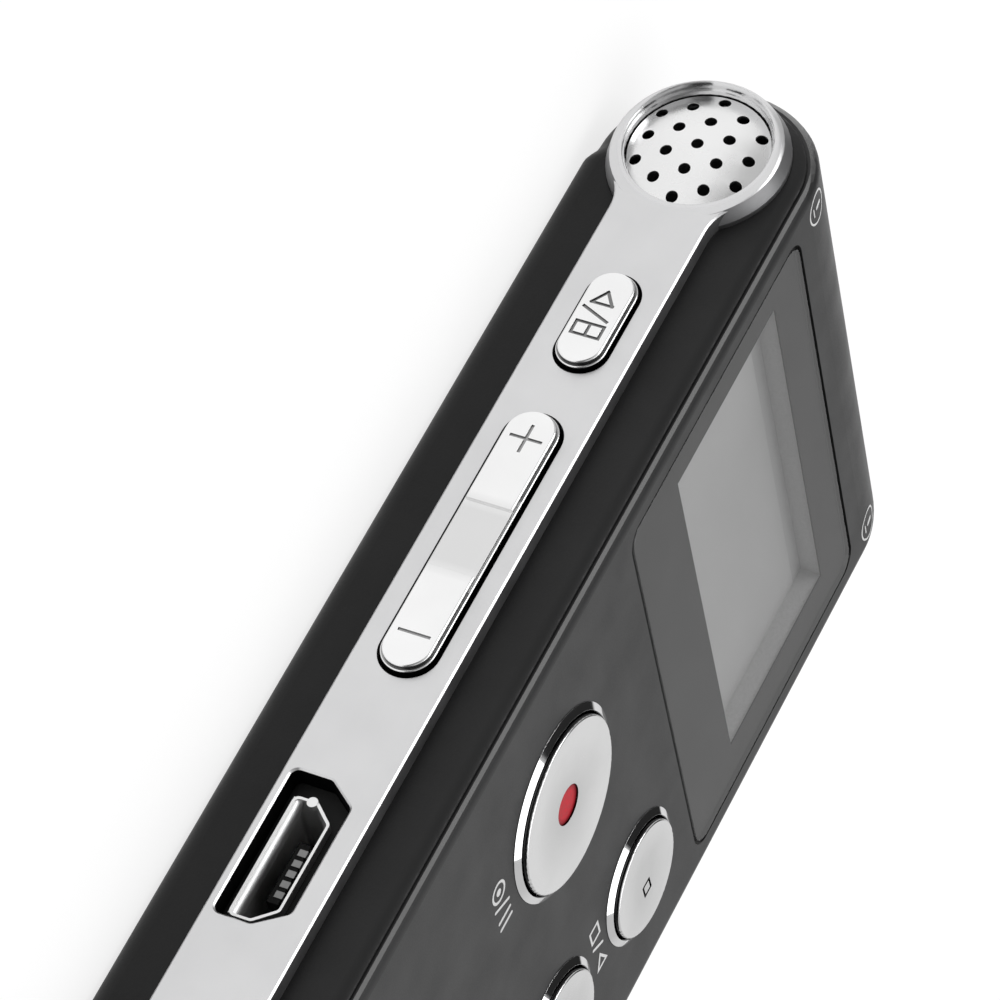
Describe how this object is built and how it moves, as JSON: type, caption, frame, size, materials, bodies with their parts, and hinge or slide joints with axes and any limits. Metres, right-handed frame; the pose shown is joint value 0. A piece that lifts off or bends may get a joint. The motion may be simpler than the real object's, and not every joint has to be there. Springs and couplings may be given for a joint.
{
  "type": "voice recorder",
  "caption": "Slim handheld digital voice recorder with side microphones, screen, front keys, side volume rocker, micro-USB socket and headphone jack.",
  "frame": {"origin": "centre of the flat back, on the surface the recorder lies on", "axes": "+Z out of the screen side, +Y to the microphone end, +X to the user's right when reading the screen"},
  "size_m": [0.0362, 0.1, 0.0133],
  "materials": {
    "case_black": "satin dark coating",
    "panel_gray": "satin dark gray anodised, with a bright cut edge",
    "rail_silver": "fine bead-blasted anodised",
    "grille_silver": "satin",
    "chrome": "bright plated",
    "key_silver": "satin plated plastic",
    "key_red": "gloss",
    "lens": "clear hard-coated",
    "ink": "printed",
    "screen": "matte polariser",
    "white_plastic": "matte",
    "foam": "foam",
    "rubber": "matte",
    "board": "solder mask",
    "chip": "moulded",
    "black_plastic": "moulded",
    "steel": "plain",
    "screw": "blackened",
    "gold": "gold plated",
    "flex": "polyimide",
    "cell_wrap": "laminated foil pouch",
    "lead": "wire insulation",
    "cone": "film",
    "socket_plastic": "moulded"
  },
  "bodies": {
    "case": {"battery_cell": "cell_wrap", "battery_leads": "lead", "battery_plug": "white_plastic", "board_screws": "steel", "case_screws": "screw", "crystal_can": "steel", "display_lens": "lens", "front_panel": "panel_gray", "front_shell": "case_black", "headphone_jack": "socket_plastic", "hold_switch": "steel", "jack_tabs": "gold", "key_switch_bodies": "steel", "key_switch_plungers": "white_plastic", "lcd_backlight": "white_plastic", "lcd_flex": "flex", "lcd_gasket": "foam", "lcd_glass": "screen", "left_mic_boot": "rubber", "left_mic_capsule": "steel", "left_mic_grille": "grille_silver", "left_side_rail": "rail_silver", "lens_mask": "ink", "main_board": "board", "mark_bezel": "chrome", "memory_chip": "chip", "mic_leads": "lead", "power_chips": "chip", "processor_chip": "chip", "rear_shell": "case_black", "rec_bezel": "chrome", "right_mic_boot": "rubber", "right_mic_capsule": "steel", "right_mic_grille": "grille_silver", "right_side_rail": "rail_silver", "rocker_pin": "steel", "side_switch_bodies": "black_plastic", "side_switch_plungers": "white_plastic", "speaker_cone": "cone", "speaker_frame": "steel", "stop_bezel": "chrome", "usb_contacts": "gold", "usb_shell": "steel", "usb_tongue": "socket_plastic"},
    "rec_button": {"rec_key": "key_silver", "rec_dot": "key_red"},
    "stop_button": {"stop_key": "key_silver"},
    "mark_button": {"mark_key": "key_silver"},
    "nav_centre_button": {"nav_centre_key": "key_silver"},
    "nav_up_button": {"nav_up_key": "key_silver"},
    "nav_down_button": {"nav_down_key": "key_silver"},
    "nav_left_button": {"nav_left_key": "key_silver"},
    "nav_right_button": {"nav_right_key": "key_silver"},
    "menu_button": {"menu_key": "key_silver"},
    "erase_button": {"erase_key": "key_silver"},
    "ab_button": {"ab_key": "key_silver"},
    "volume_button": {"volume_rocker": "key_silver"},
    "hold_knob": {"hold_slider": "key_silver"}
  },
  "joints": [
    {"name": "rec_press", "type": "slide", "parent": "case", "child": "rec_button", "axis": [0, 0, -1], "range_m": [0, 0.0003], "stiffness_N_per_m": 2500, "springref_m": -0.0001},
    {"name": "stop_press", "type": "slide", "parent": "case", "child": "stop_button", "axis": [0, 0, -1], "range_m": [0, 0.0003], "stiffness_N_per_m": 2500, "springref_m": -0.0001},
    {"name": "mark_press", "type": "slide", "parent": "case", "child": "mark_button", "axis": [0, 0, -1], "range_m": [0, 0.0003], "stiffness_N_per_m": 2500, "springref_m": -0.0001},
    {"name": "nav_centre_press", "type": "slide", "parent": "case", "child": "nav_centre_button", "axis": [0, 0, -1], "range_m": [0, 0.0003], "stiffness_N_per_m": 2500, "springref_m": -0.0001},
    {"name": "nav_up_press", "type": "slide", "parent": "case", "child": "nav_up_button", "axis": [0, 0, -1], "range_m": [0, 0.0003], "stiffness_N_per_m": 2500, "springref_m": -0.0001},
    {"name": "nav_down_press", "type": "slide", "parent": "case", "child": "nav_down_button", "axis": [0, 0, -1], "range_m": [0, 0.0003], "stiffness_N_per_m": 2500, "springref_m": -0.0001},
    {"name": "nav_left_press", "type": "slide", "parent": "case", "child": "nav_left_button", "axis": [0, 0, -1], "range_m": [0, 0.0003], "stiffness_N_per_m": 2500, "springref_m": -0.0001},
    {"name": "nav_right_press", "type": "slide", "parent": "case", "child": "nav_right_button", "axis": [0, 0, -1], "range_m": [0, 0.0003], "stiffness_N_per_m": 2500, "springref_m": -0.0001},
    {"name": "menu_press", "type": "slide", "parent": "case", "child": "menu_button", "axis": [0, 0, -1], "range_m": [0, 0.0003], "stiffness_N_per_m": 2500, "springref_m": -0.0001},
    {"name": "erase_press", "type": "slide", "parent": "case", "child": "erase_button", "axis": [0, 0, -1], "range_m": [0, 0.0003], "stiffness_N_per_m": 2500, "springref_m": -0.0001},
    {"name": "ab_press", "type": "slide", "parent": "case", "child": "ab_button", "axis": [1, 0, 0], "range_m": [0, 0.0003], "stiffness_N_per_m": 2500, "springref_m": -0.0001},
    {"name": "volume_rock", "type": "hinge", "parent": "case", "child": "volume_button", "pos_m": [-0.0157, 0.01585, 0.00645], "axis": [0, 0, 1], "range_deg": [-1.5, 1.5], "stiffness_Nm_per_rad": 0.3},
    {"name": "hold_slide", "type": "slide", "parent": "case", "child": "hold_knob", "axis": [0, 1, 0], "range_m": [0, 0.002]}
  ]
}
